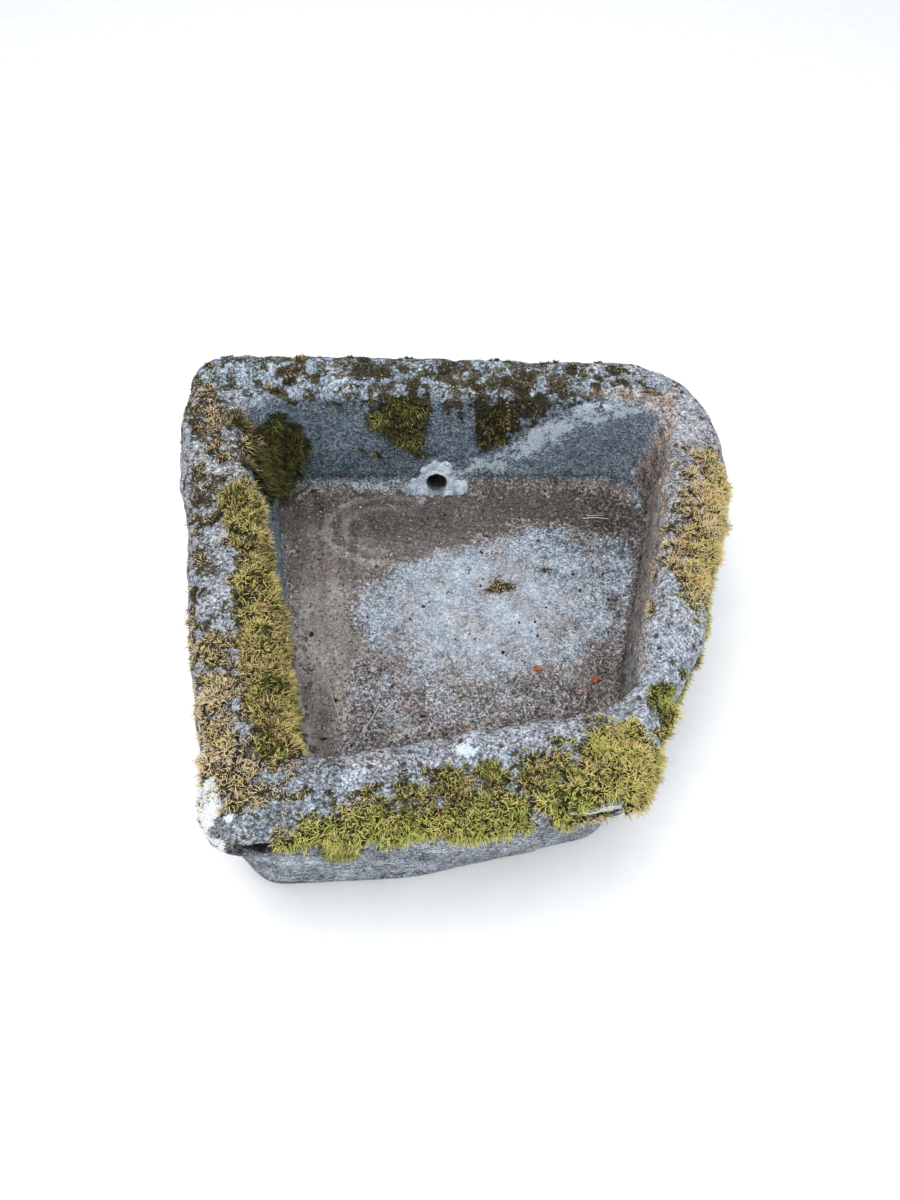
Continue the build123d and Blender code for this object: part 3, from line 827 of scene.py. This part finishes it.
def lay_silt():
    """Lays the torn silt film, with its drying lines and crumbs, and returns its top as a tree."""
    front = ease(-10, -90, Y0) * ease(-170, -110, X0)
    torn = np.maximum(front, ease(110, 160, X0) * ease(190, 150, Y0))
    ragged = (SILT_SOFT + 0.26 * noise(P, 15, 90) + (0.2 + 0.55 * torn) * noise(P, 6.5, 91) - 0.1
              - 0.22 * front - 0.1 * torn - 0.16 * front * ease(-190, -130, Y0))
    thick = 1.5 * ease(0.45, 0.95, SILT_SOFT) + 0.45 * noise(P, 9, 92) + 0.4 * noise(P, 6, 93) + 0.25
    mesh, top, faces, used = shell("silt_film", ragged, np.maximum(thick, 0.15))
    p, front = P0[used], front[used]
    x, y, z = p.T
    level = (0.48 + 0.06 * noise(p, 70, 94) - 0.13 * ease(120, 200, y) - 0.12 * ease(150, 250, x)
             + 0.2 * ease(-90, -180, x) * ease(170, 40, y)
             + 0.15 * front + 0.12 * front * noise(p, 45, 98))
    # pale drying lines: two arcs at the back left, and streaks along the left side
    for rx, ry, tone in ((92, 60, 0.2), (62, 40, 0.15)):
        ring = np.abs(np.hypot((x + 100) / rx, (y - 180) / ry) - 1) * rx
        level += tone * ease(11, 3, ring + 5 * noise(p, 20, 95)) * ease(-40, -90, x - 0.3 * (y - 200))
    along = noise(np.stack([x * 6 + y * 0.9, y * 0.7, z], 1), 90, 96)
    level += 0.14 * along * ease(-90, -150, x)
    contrast = 0.52 + 1.45 * front + 0.6 * ease(140, 230, x)
    crumbs = 0.12 + 0.75 * front + 0.3 * ease(150, 230, x) * ease(200, 120, y)
    crumbs = np.clip(crumbs + 0.35 * noise(p, 40, 97) * front, 0, 1)
    for key, values in (("level", level), ("contrast", contrast), ("crumbs", crumbs)):
        attribute(mesh, key, np.concatenate([values, values]))
    link("silt_film", mesh, "silt_bed", [mud()])
    return tree_of(top, faces)


SILT_TREE = lay_silt()


# ---------------------------------------------------------------- the stone's own skin
def paint_stone():
    """Each point's place in the stone's finish: tone, speckle, blueness (the granite's own cast, and painted
    bluish shade on the inner walls), the films that lie on it, and the painted shade in the cracks.
    """
    x, y, z = P.T
    hollow = ease(-6, 6, WITHIN) * ease(256, 240, z)
    floor = ease(-2, 14, WITHIN) * ease(118, 98, z)
    wall = hollow * (1 - floor)
    back_wall = wall * ease(225, 262, y)
    facing = SOFT_N[:, 0] + 0.22 * noise(P, 26, 107)
    right_wall = wall * ease(-0.25, -0.75, facing) * (x > 0) * (1 - ease(240, 268, y))
    left_wall = wall * ease(0.25, 0.75, facing) * (x < 0) * (1 - back_wall)
    outer = ease(34, 16, EDGE) * ease(232, 212, z)
    rim = 1 - np.clip(hollow + floor + outer, 0, 1)
    front_face = outer * ease(-200, -260, y)
    back_rim = rim * ease(262, 300, y)
    front_rim = rim * ease(-200, -240, y)
    patch = fbm(P, 46, 101)
    small = fbm(P, 15, 102)
    broad = fbm(P, 130, 111, 2)
    runs = noise(np.stack([x, y, z * 0.22], 1), 26, 112)
    streak = noise(np.stack([x, y, z * 7], 1), 90, 105)
    near, own = strewn(P, 62, 5007)
    rosette = ease(13, 9, near + 3.5 * noise(P, 9, 114)) * (own > 0.62) * outer
    # pale growth rising to the right across the back wall
    d = line_distance(x, z, 28, 118, 262, 256)
    pale = ease(30, 9, d + 12 * noise(P, 26, 103) + 8 * noise(P, 9, 104)) * back_wall
    # the bare floor is palest in the middle and muddiest along the foot of the front wall
    middle = ease(1.2, 0.35, np.hypot((x - 50) / 190, (y - 45) / 140))
    foot = floor * ease(104, 26, WITHIN + 16 * noise(P, 30, 110)) * ease(20, -70, y)
    torn = np.maximum(ease(-10, -90, y), ease(110, 160, x) * ease(190, 150, y))
    level = (rim * (0.525 + 0.05 * patch + 0.06 * small + 0.02 * front_rim + 0.015 * ease(200, 300, x))
             + 0.07 * rim * ease(180, 220, x) * ease(0, -60, y)
             - 0.09 * rim * ease(-90, -150, x) * ease(-200, -250, y) + 0.05 * back_rim
             + outer * (0.53 + 0.08 * patch + 0.05 * small + 0.08 * broad + 0.05 * runs * ease(40, 150, z))
             + front_face * (0.02 + 0.1 * patch + 0.06 * small)
             - 0.12 * outer * ease(46, 8, z + 12 * noise(P, 34, 113)) + 0.16 * rosette * ease(3, 7, near)
             + wall * (0.42 + 0.03 * patch + 0.04 * small) + 0.07 * back_wall * ease(0, 160, x)
             + 0.1 * left_wall + right_wall * (0.14 * ease(140, 240, z) + 0.16 * small) + 0.11 * pale
             + 0.1 * front_face * ease(0.15, 0.5, streak))
    bare = 0.57 + 0.13 * middle + 0.09 * patch + 0.07 * small - 0.04 * ease(60, 140, y)
    # darker where the growth lies; the band on the outer faces from z 185 to 225 is painted shade under the
    # rim's overhang
    level = (level * (1 - floor) + floor * bare + 0.03 * np.clip(RELIEF, -4, 3)
             - 0.16 * ease(0.05, 0.6, ALL_MOSS) - 0.12 * ease(225, 205, z) * ease(185, 203, z) * outer
             - 0.1 * foot)
    contrast = 0.8 * rim + 0.9 * outer + 0.72 * wall + 0.42 * pale + floor * (0.95 - 0.45 * middle)
    contrast = np.clip(contrast, 0.3, 1.2) + 0.35 * right_wall
    # blueness: the granite's own bluish cast, and on the inner walls painted bluish shade
    blue_cast_and_shade = (rim * (0.42 + 0.45 * patch) - 0.6 * rim * ease(200, 230, x) * ease(-30, 20, y)
            - 0.22 * rim * ease(-25, -5, WITHIN) + 0.6 * outer + 1.0 * wall
            + 0.3 * rim * ease(150, 200, x) * ease(20, -40, y)
            + floor * (0.6 + 0.8 * patch - 0.3 * ease(0, -90, y)) + 0.75 * back_rim - 1.1 * right_wall
            - 0.25 * rim * ease(-230, -270, x) * ease(240, 200, y))
    earth = (floor * (0.06 + (0.72 - 0.5 * torn) * ease(0.05, 0.8, SILT_SOFT))
             + 0.6 * ease(226, 240, y) * ease(-10, 40, x) * ease(104, 97, z) * WITHIN.clip(0, 1)
             + wall * ease(112, 94, z) * 0.5 * (1 - back_wall) + 0.62 * right_wall
             + 0.1 * floor * ease(0.1, -0.3, patch)
             + 0.2 * floor * ease(0, -80, y) * ease(-150, -60, x) + 0.06 * rim + 0.46 * foot
             + 0.24 * outer * ease(60, 12, z + 14 * noise(P, 30, 115))
             + 0.28 * wall * ease(-100, -170, y))
    mossy_rim = back_rim + rim * ease(-200, -260, x)
    dark_back = back_rim * ease(290, 150, np.abs(x - 20))
    dark_part = np.clip(back_wall + back_rim, 0, 1) * band(x, -20, 190, 22)
    dark_part *= ease(178 + 0.16 * x, 208 + 0.16 * x, z)
    crust = (0.22 * rim + 0.08 * mossy_rim + 0.16 * dark_back + 0.42 * ease(0.02, 0.35, ALL_MOSS)
             + 0.1 * wall * ease(190, 250, z) - 0.06 * front_rim - 0.25 * pale
             + dark_part * (0.42 * back_wall + 0.06 * back_rim)
             + outer * (0.05 + 0.1 * ease(0.1, -0.5, broad)) + 0.05 * floor * (1 - middle))
    # pale lichen: the front left corner, one oval spot on the front rim, the flake and the ledge
    ragged = 16 * noise(P, 22, 108) + 7 * noise(P, 9, 109)
    corner = ease(50, 22, EDGE + ragged) * ease(-232, -276, x + ragged) * ease(-215, -262, y)
    turn = math.radians(5)
    dx, dy = x - 14, y + 246
    oval = np.hypot((dx * math.cos(turn) + dy * math.sin(turn)) / 26,
                    (-dx * math.sin(turn) + dy * math.cos(turn)) / 15)
    lichen = (-0.05 * rim + 0.02 * outer + 0.72 * pale - 0.1 * wall + 1.15 * (corner * ease(196, 222, z))
              + 0.86 * np.clip(1 - oval, 0, 1) ** 0.5 * (z > 240)
              + 0.85 * FLAKE * band(z, FLAKE_LOW, FLAKE_LOW + FLAKE_TALL, 1.5)
              + 0.48 * LEDGE * band(z, LEDGE_Z, LEDGE_Z + 11, 3)
              + 0.1 * rim * ease(0.2, 0.6, patch) + 0.3 * front_face * ease(0.3, 0.6, streak))
    lip = rim * ease(-16, -4, WITHIN)
    rust = (right_wall * (0.62 + 0.5 * small) * (0.35 + 0.65 * ease(-170, 20, y))
            + 0.55 * lip * ease(150, 210, x) * ease(-190, -110, y))
    spots = np.clip(rim + 0.5 * outer + 0.35 * floor + 0.3 * wall, 0, 1)
    return dict(level=level, contrast=contrast, blue_cast_and_shade=np.clip(blue_cast_and_shade, 0, 1), earth=earth, crust=crust,
                lichen=lichen, rust=rust, crack_shade=CRACK_SHADE, spots=spots)


mesh = build("weathered_stone", P, [QUADS])
for key, values in paint_stone().items():
    attribute(mesh, key, values)
link("weathered_stone", mesh, "stone_trough", [granite()])


# ---------------------------------------------------------------- mortar round the outlet
# the patch's outline on the wall: x and z in mm
MORTAR = [(-76, 82), (-70, 98), (-52, 108), (-44, 130), (-34, 140), (-25, 160), (-15, 144), (2, 133),
          (8, 116), (24, 102), (28, 82)]


def lay_mortar():
    """Thins the mortar to a ragged, feathered patch, and leaves the lining of the hole as it is."""
    p, n, quads = remeshed("drain_mortar_collar", MORTAR_VOXEL)
    rim = np.min([line_distance(p[:, 0], p[:, 2], *a, *b) for a, b in zip(MORTAR, MORTAR[1:])], axis=0)
    rim = rim + 5 * noise(p, 11, 124) + 3 * noise(p, 5.5, 125)
    front = ease(274, 270, p[:, 1] - 0.22 * (p[:, 2] - 103))
    thin = np.maximum(ease(8, 4, rim), ease(137, 147, p[:, 2] + 5 * noise(p, 9, 126)))
    around = np.hypot(p[:, 0] - DRAIN[0], p[:, 2] - DRAIN[1])
    sunk = front * ease(16.5, 22, around) * np.maximum(9.0 * thin, 2.5 + 1.5 * ease(18, 7, rim))
    sunk = sunk + 9 * front * ease(137, 145, p[:, 2])
    p = p + np.array([0, 1, -0.2]) * col(sunk)
    free = ease(15.5, 24, around) * (p[:, 1] < 300)
    d = 1.3 * noise(p, 19, 120) + 1.2 * noise(p, 8, 121) + 0.8 * noise(p, 4.5, 122)
    p = p + n * col(d * free)
    mesh = build("mortar_collar", p, [quads])
    # painted shade inside the drain hole's lining; darker towards the bottom as well
    level = 0.76 + 0.14 * noise(p, 20, 123) - 0.6 * ease(17.5, 15.5, around) * ease(250, 264, p[:, 1])
    level = level - 0.3 * ease(100, 90, p[:, 2])
    attribute(mesh, "level", level)
    link("mortar_collar", mesh, "drain_mortar_collar", [mortar()])


lay_mortar()


# ---------------------------------------------------------------- litter
def ground(x, y):
    """Height in mm of the silt or stone under a plan point."""
    hits = [tree.ray_cast(Vector((x, y, 235.0)), Vector((0, 0, -1)))[0] for tree in (STONE_TREE, SILT_TREE)]
    return max((hit.z for hit in hits if hit is not None), default=FLOOR_Z)


GRAIN_TRIES = 3430
LARGE_GRAINS = 30  # the last tries, which lay large dark grains


def strew_grit():
    """Small rough grains, dark, brown or pale, thicker to the front and right of the floor."""
    rng = np.random.default_rng(77)
    bm = bmesh.new()
    bmesh.ops.create_icosphere(bm, subdivisions=1, radius=1.0)
    ball = np.array([v.co[:] for v in bm.verts])
    tris = np.array([[v.index for v in f.verts] for f in bm.faces])
    bm.free()
    verts, faces, tint = [], [], []
    for k in range(GRAIN_TRIES):
        x, y = rng.uniform(-235, 275), rng.uniform(-225, 262)
        spot = np.array([[x, y, FLOOR_Z]])
        if inside(spot, BASIN)[0] < 34 or math.hypot(x - DRAIN[0], y - 262) < 36:
            continue
        dense = 0.16 + 0.6 * float(ease(-10, -150, y)) + 0.3 * float(ease(150, 240, x))
        large = k >= GRAIN_TRIES - LARGE_GRAINS
        if rng.random() > dense and not large:
            continue
        kind = rng.choice(3, p=(0.5, 0.3, 0.2))
        r = rng.uniform(0.5, 1.6) if rng.random() < 0.93 else rng.uniform(1.6, 3.2)
        if kind == 2:
            r = min(r, 1.8)
        if large:
            kind, r = 0, rng.uniform(1.8, 3.4)
        shape = ball * (1 + 0.28 * rng.normal(size=(len(ball), 1))) * rng.uniform(0.6, 1.2, 3) * r
        shape[:, 2] = np.maximum(shape[:, 2], -0.5 * r)
        a = rng.uniform(0, 6.28)
        c, s = math.cos(a), math.sin(a)
        shape = shape @ np.array([(c, s, 0), (-s, c, 0), (0, 0, 1)])
        faces.append(tris + len(ball) * len(verts))
        verts.append(shape + (x, y, ground(x, y) + 0.3 * r))
        tint += [kind] * len(tris)
    mesh = build("floor_grit", np.concatenate(verts), [np.concatenate(faces)], tint, False)
    link("floor_grit", mesh, "grit_pebbles",
         [speck("grit_" + tone, colour, 0.9, 0.2, (0.2, 0.8, 0.55, 0.9)) for tone, colour in (
             ("dark", (0.03, 0.025, 0.022)), ("brown", (0.13, 0.085, 0.05)), ("pale", (0.52, 0.5, 0.46)))])


strew_grit()


def leaf(bm, rng, x, y, length, width, turn, curl, lift):
    """A torn, curled leaf fragment with a raised midrib and real thickness."""
    rows, cols, thick = 15, 9, 0.5
    c, s = math.cos(math.radians(turn)), math.sin(math.radians(turn))
    t = np.linspace(0, 1, rows)[:, None]
    u = np.linspace(-1, 1, cols)[None]
    ragged = 1 + 0.16 * col(rng.normal(size=rows))
    half = width / 2 * np.sin(np.pi * t.clip(0.03, 0.97)) ** 0.7 * ragged
    px, py = (t - 0.5) * length + 0 * u, u * half
    pz = (curl * (u * u) * half + lift * (2 * t - 1) ** 2 * 4 + 0.5 * np.exp(-(u / 0.12) ** 2)
          + 0.25 * np.sin(9 * t + 5 * u))
    pz += ground(x, y) - pz.min() + 0.2
    grid = np.stack([x + px * c - py * s, y + px * s + py * c, pz], 2)
    top = [[bm.verts.new(Vector(q + (0, 0, thick)) * MM) for q in row] for row in grid]
    under = [[bm.verts.new(Vector(q) * MM) for q in row] for row in grid]
    for i, j in product(range(rows - 1), range(cols - 1)):
        bm.faces.new((top[i][j], top[i + 1][j], top[i + 1][j + 1], top[i][j + 1]))
        bm.faces.new((under[i][j + 1], under[i + 1][j + 1], under[i + 1][j], under[i][j]))
    ring = [(i, 0) for i in range(rows)] + [(rows - 1, j) for j in range(1, cols)]
    ring += [(i, cols - 1) for i in range(rows - 2, -1, -1)] + [(0, j) for j in range(cols - 2, 0, -1)]
    for (i, j), (m, n) in zip(ring, ring[1:] + ring[:1]):
        bm.faces.new((top[i][j], under[i][j], under[m][n], top[m][n]))


# x, y, length, width, turn in degrees, curl across and lift at the ends
LEAVES = [(203, -76, 13, 9, 60, 0.7, 0.8), (124, -58, 15, 7, -20, 0.5, 0.6), (188, -94, 8, 5, 10, 0.4, 0.3),
          (-60, -120, 7, 4, 40, 0.3, 0.3), (-186, 120, 6, 4, 80, 0.3, 0.2), (214, -60, 6, 3, 100, 0.5, 0.4),
          (20, -150, 6, 4, 150, 0.4, 0.3)]


def lay_leaves():
    bm = bmesh.new()
    for k, bit in enumerate(LEAVES):
        leaf(bm, np.random.default_rng(900 + k), *bit)
    bmesh.ops.recalc_face_normals(bm, faces=bm.faces)
    mesh = bpy.data.meshes.new("leaf_bits")
    bm.to_mesh(mesh)
    bm.free()
    for f in mesh.polygons:
        f.use_smooth = True
    link("leaf_bits", mesh, "leaf_fragments", [leaf_finish()])


lay_leaves()


def smooth_line(points):
    """A NURBS line near the points, as an array."""
    curve = bpy.data.curves.new("line", "CURVE")
    curve.dimensions = "3D"
    curve.resolution_u = 6
    sp = curve.splines.new("NURBS")
    sp.points.add(len(points) - 1)
    for point, place in zip(sp.points, points):
        point.co = (*place, 1)
    sp.order_u = 3
    sp.use_endpoint_u = True
    ob = bpy.data.objects.new("line", curve)
    path = bpy.data.meshes.new_from_object(ob)
    line = coords(path)
    bpy.data.objects.remove(ob)
    bpy.data.curves.remove(curve)
    bpy.data.meshes.remove(path)
    return line


# the larger stems: points (x, y and height over the ground), radius, and 1 for straw or 0 for brown
STEMS = [
    ([(-97, -112, 2), (-106, -136, 5), (-122, -158, 2)], 0.9, 1),
    ([(206, 199, 2), (226, 201, 4), (246, 197, 1.5)], 0.9, 1),
    ([(212, 206, 1.5), (228, 202, 2.5), (240, 205, 1.5)], 0.6, 1),
    ([(28, -136, 1.5), (52, -127, 3), (80, -129, 1.5)], 0.7, 1),
    ([(-166, -96, 1.5), (-156, -118, 4), (-150, -142, 1.5)], 0.6, 1),
    ([(-158, -90, 1.5), (-146, -110, 3), (-146, -130, 1.5)], 0.5, 1),
    ([(102, 228, 1), (106, 256, 14), (112, 275, 30), (128, 281, 57), (150, 281.5, 64), (170, 277, 42),
      (178, 258, 15), (182, 230, 1)], 0.55, 0),
]


def lay_stems():
    """Dry stems as tapering six-sided tubes along smooth lines."""
    rng = np.random.default_rng(41)
    lines = list(STEMS)
    for _ in range(46):
        x, y = rng.uniform(-150, 235), rng.uniform(-190, -20)
        if rng.random() < 0.25:
            x, y = rng.uniform(-200, 260), rng.uniform(120, 250)
        a, size = rng.uniform(0, 6.28), rng.uniform(6, 20)
        if inside(np.array([[x, y]]), BASIN)[0] < 45:
            continue
        dx, dy = math.cos(a) * size / 2, math.sin(a) * size / 2
        middle = (x + dy * 0.3, y - dx * 0.3, rng.uniform(1.2, 3.5))
        lines.append(([(x - dx, y - dy, 0.8), middle, (x + dx, y + dy, 0.8)],
                      rng.uniform(0.28, 0.5), int(rng.random() < 0.55)))
    verts, quads, caps, side_tints, cap_tints = [], [], [], [], []
    for points, radius, tint in lines:
        # the long brown stem climbs the back wall, so its height is counted from the floor there
        line = smooth_line([(a, b, h + (ground(a, b) if b < 262 or len(points) < 5 else FLOOR_Z + 3))
                            for a, b, h in points])
        tangent = unit(np.gradient(line, axis=0))
        side = unit(np.cross(tangent, (0, 0, 1)))
        up = np.cross(side, tangent)
        start, rows = sum(len(v) for v in verts), len(line)
        taper = col(radius * (1 - 0.45 * np.linspace(0, 1, rows)))
        for k in range(6):
            a = math.pi / 3 * k
            verts.append(line + (side * math.cos(a) + up * math.sin(a)) * taper)
            here, there = (start + j % 6 * rows + np.arange(rows - 1) for j in (k, k + 1))
            quads.append(np.stack([here, there, there + 1, here + 1], 1))
        ends = np.arange(6) * rows + start
        caps += [ends[::-1], ends + rows - 1]
        side_tints += [tint] * 6 * (rows - 1)
        cap_tints += [tint] * 2
    mesh = build("dry_stems", np.concatenate(verts), [np.concatenate(quads), np.array(caps)],
                 side_tints + cap_tints)
    bm = bmesh.new()
    bm.from_mesh(mesh)
    bmesh.ops.recalc_face_normals(bm, faces=bm.faces)
    bm.to_mesh(mesh)
    bm.free()
    gloss = (0.2, 0.8, 0.6, 0.9)
    link("dry_stems", mesh, "straw_stems",
         [speck("stem_brown", (0.2, 0.12, 0.075), 3.0, 0.3, gloss, 0.35),
          speck("stem_straw", (0.62, 0.55, 0.4), 3.0, 0.3, gloss, 0.25)])


lay_stems()


# ---------------------------------------------------------------- studio
def studio():
    bm = bmesh.new()
    bmesh.ops.create_grid(bm, x_segments=2, y_segments=2, size=6.0)
    mesh = bpy.data.meshes.new("studio_floor")
    bm.to_mesh(mesh)
    bm.free()
    floor = add_object("studio_floor", mesh)
    floor.location = (0, 0, -0.0005)
    m = Nodes("studio_floor")
    shades = [(0.3, (0.86, 0.86, 0.86)), (0.7, (0.89, 0.89, 0.89))]
    m.fill(m.bsdf, {"Base Color": m.ramp(m.noise(40.0, 2.0, 0.5), shades), "Roughness": 0.9,
                    "Specular IOR Level": 0.1})
    mesh.materials.append(m.mat)
    world = bpy.data.worlds.new("studio")
    bpy.context.scene.world = world
    world.use_nodes = True
    back = world.node_tree.nodes["Background"]
    back.inputs["Color"].default_value = (0.93, 0.965, 1.0, 1)
    back.inputs["Strength"].default_value = 0.85

    middle = Vector((0, 0, 0.15))

    def lamp(name, place, size, power, colour):
        light = bpy.data.lights.new(name, "AREA")
        light.shape = "DISK"
        light.size = size
        light.energy = power
        light.color = colour
        ob = add_object(name, light)
        ob.location = place
        ob.rotation_euler = (middle - Vector(place)).to_track_quat("-Z", "Y").to_euler()

    lamp("top_softbox", (-0.25, 0.1, 2.6), 1.8, 42, (1.0, 0.99, 0.97))
    lamp("front_left_softbox", (-1.7, -1.5, 1.7), 1.4, 16, (1.0, 0.98, 0.95))
    lamp("right_softbox", (1.9, -0.6, 1.5), 1.4, 9, (0.95, 0.98, 1.0))


studio()
camera = bpy.data.cameras.new("camera")
camera.lens = 27.03  # fitted to the photograph's outline, as is its place
camera.sensor_width = 36.0
eye = add_object("camera", camera)
eye.location = (0.0, -0.61, 1.237)
eye.rotation_euler = (math.radians(30), 0, 0)
bpy.context.scene.camera = eye
bpy.context.scene.view_settings.view_transform = "Standard"
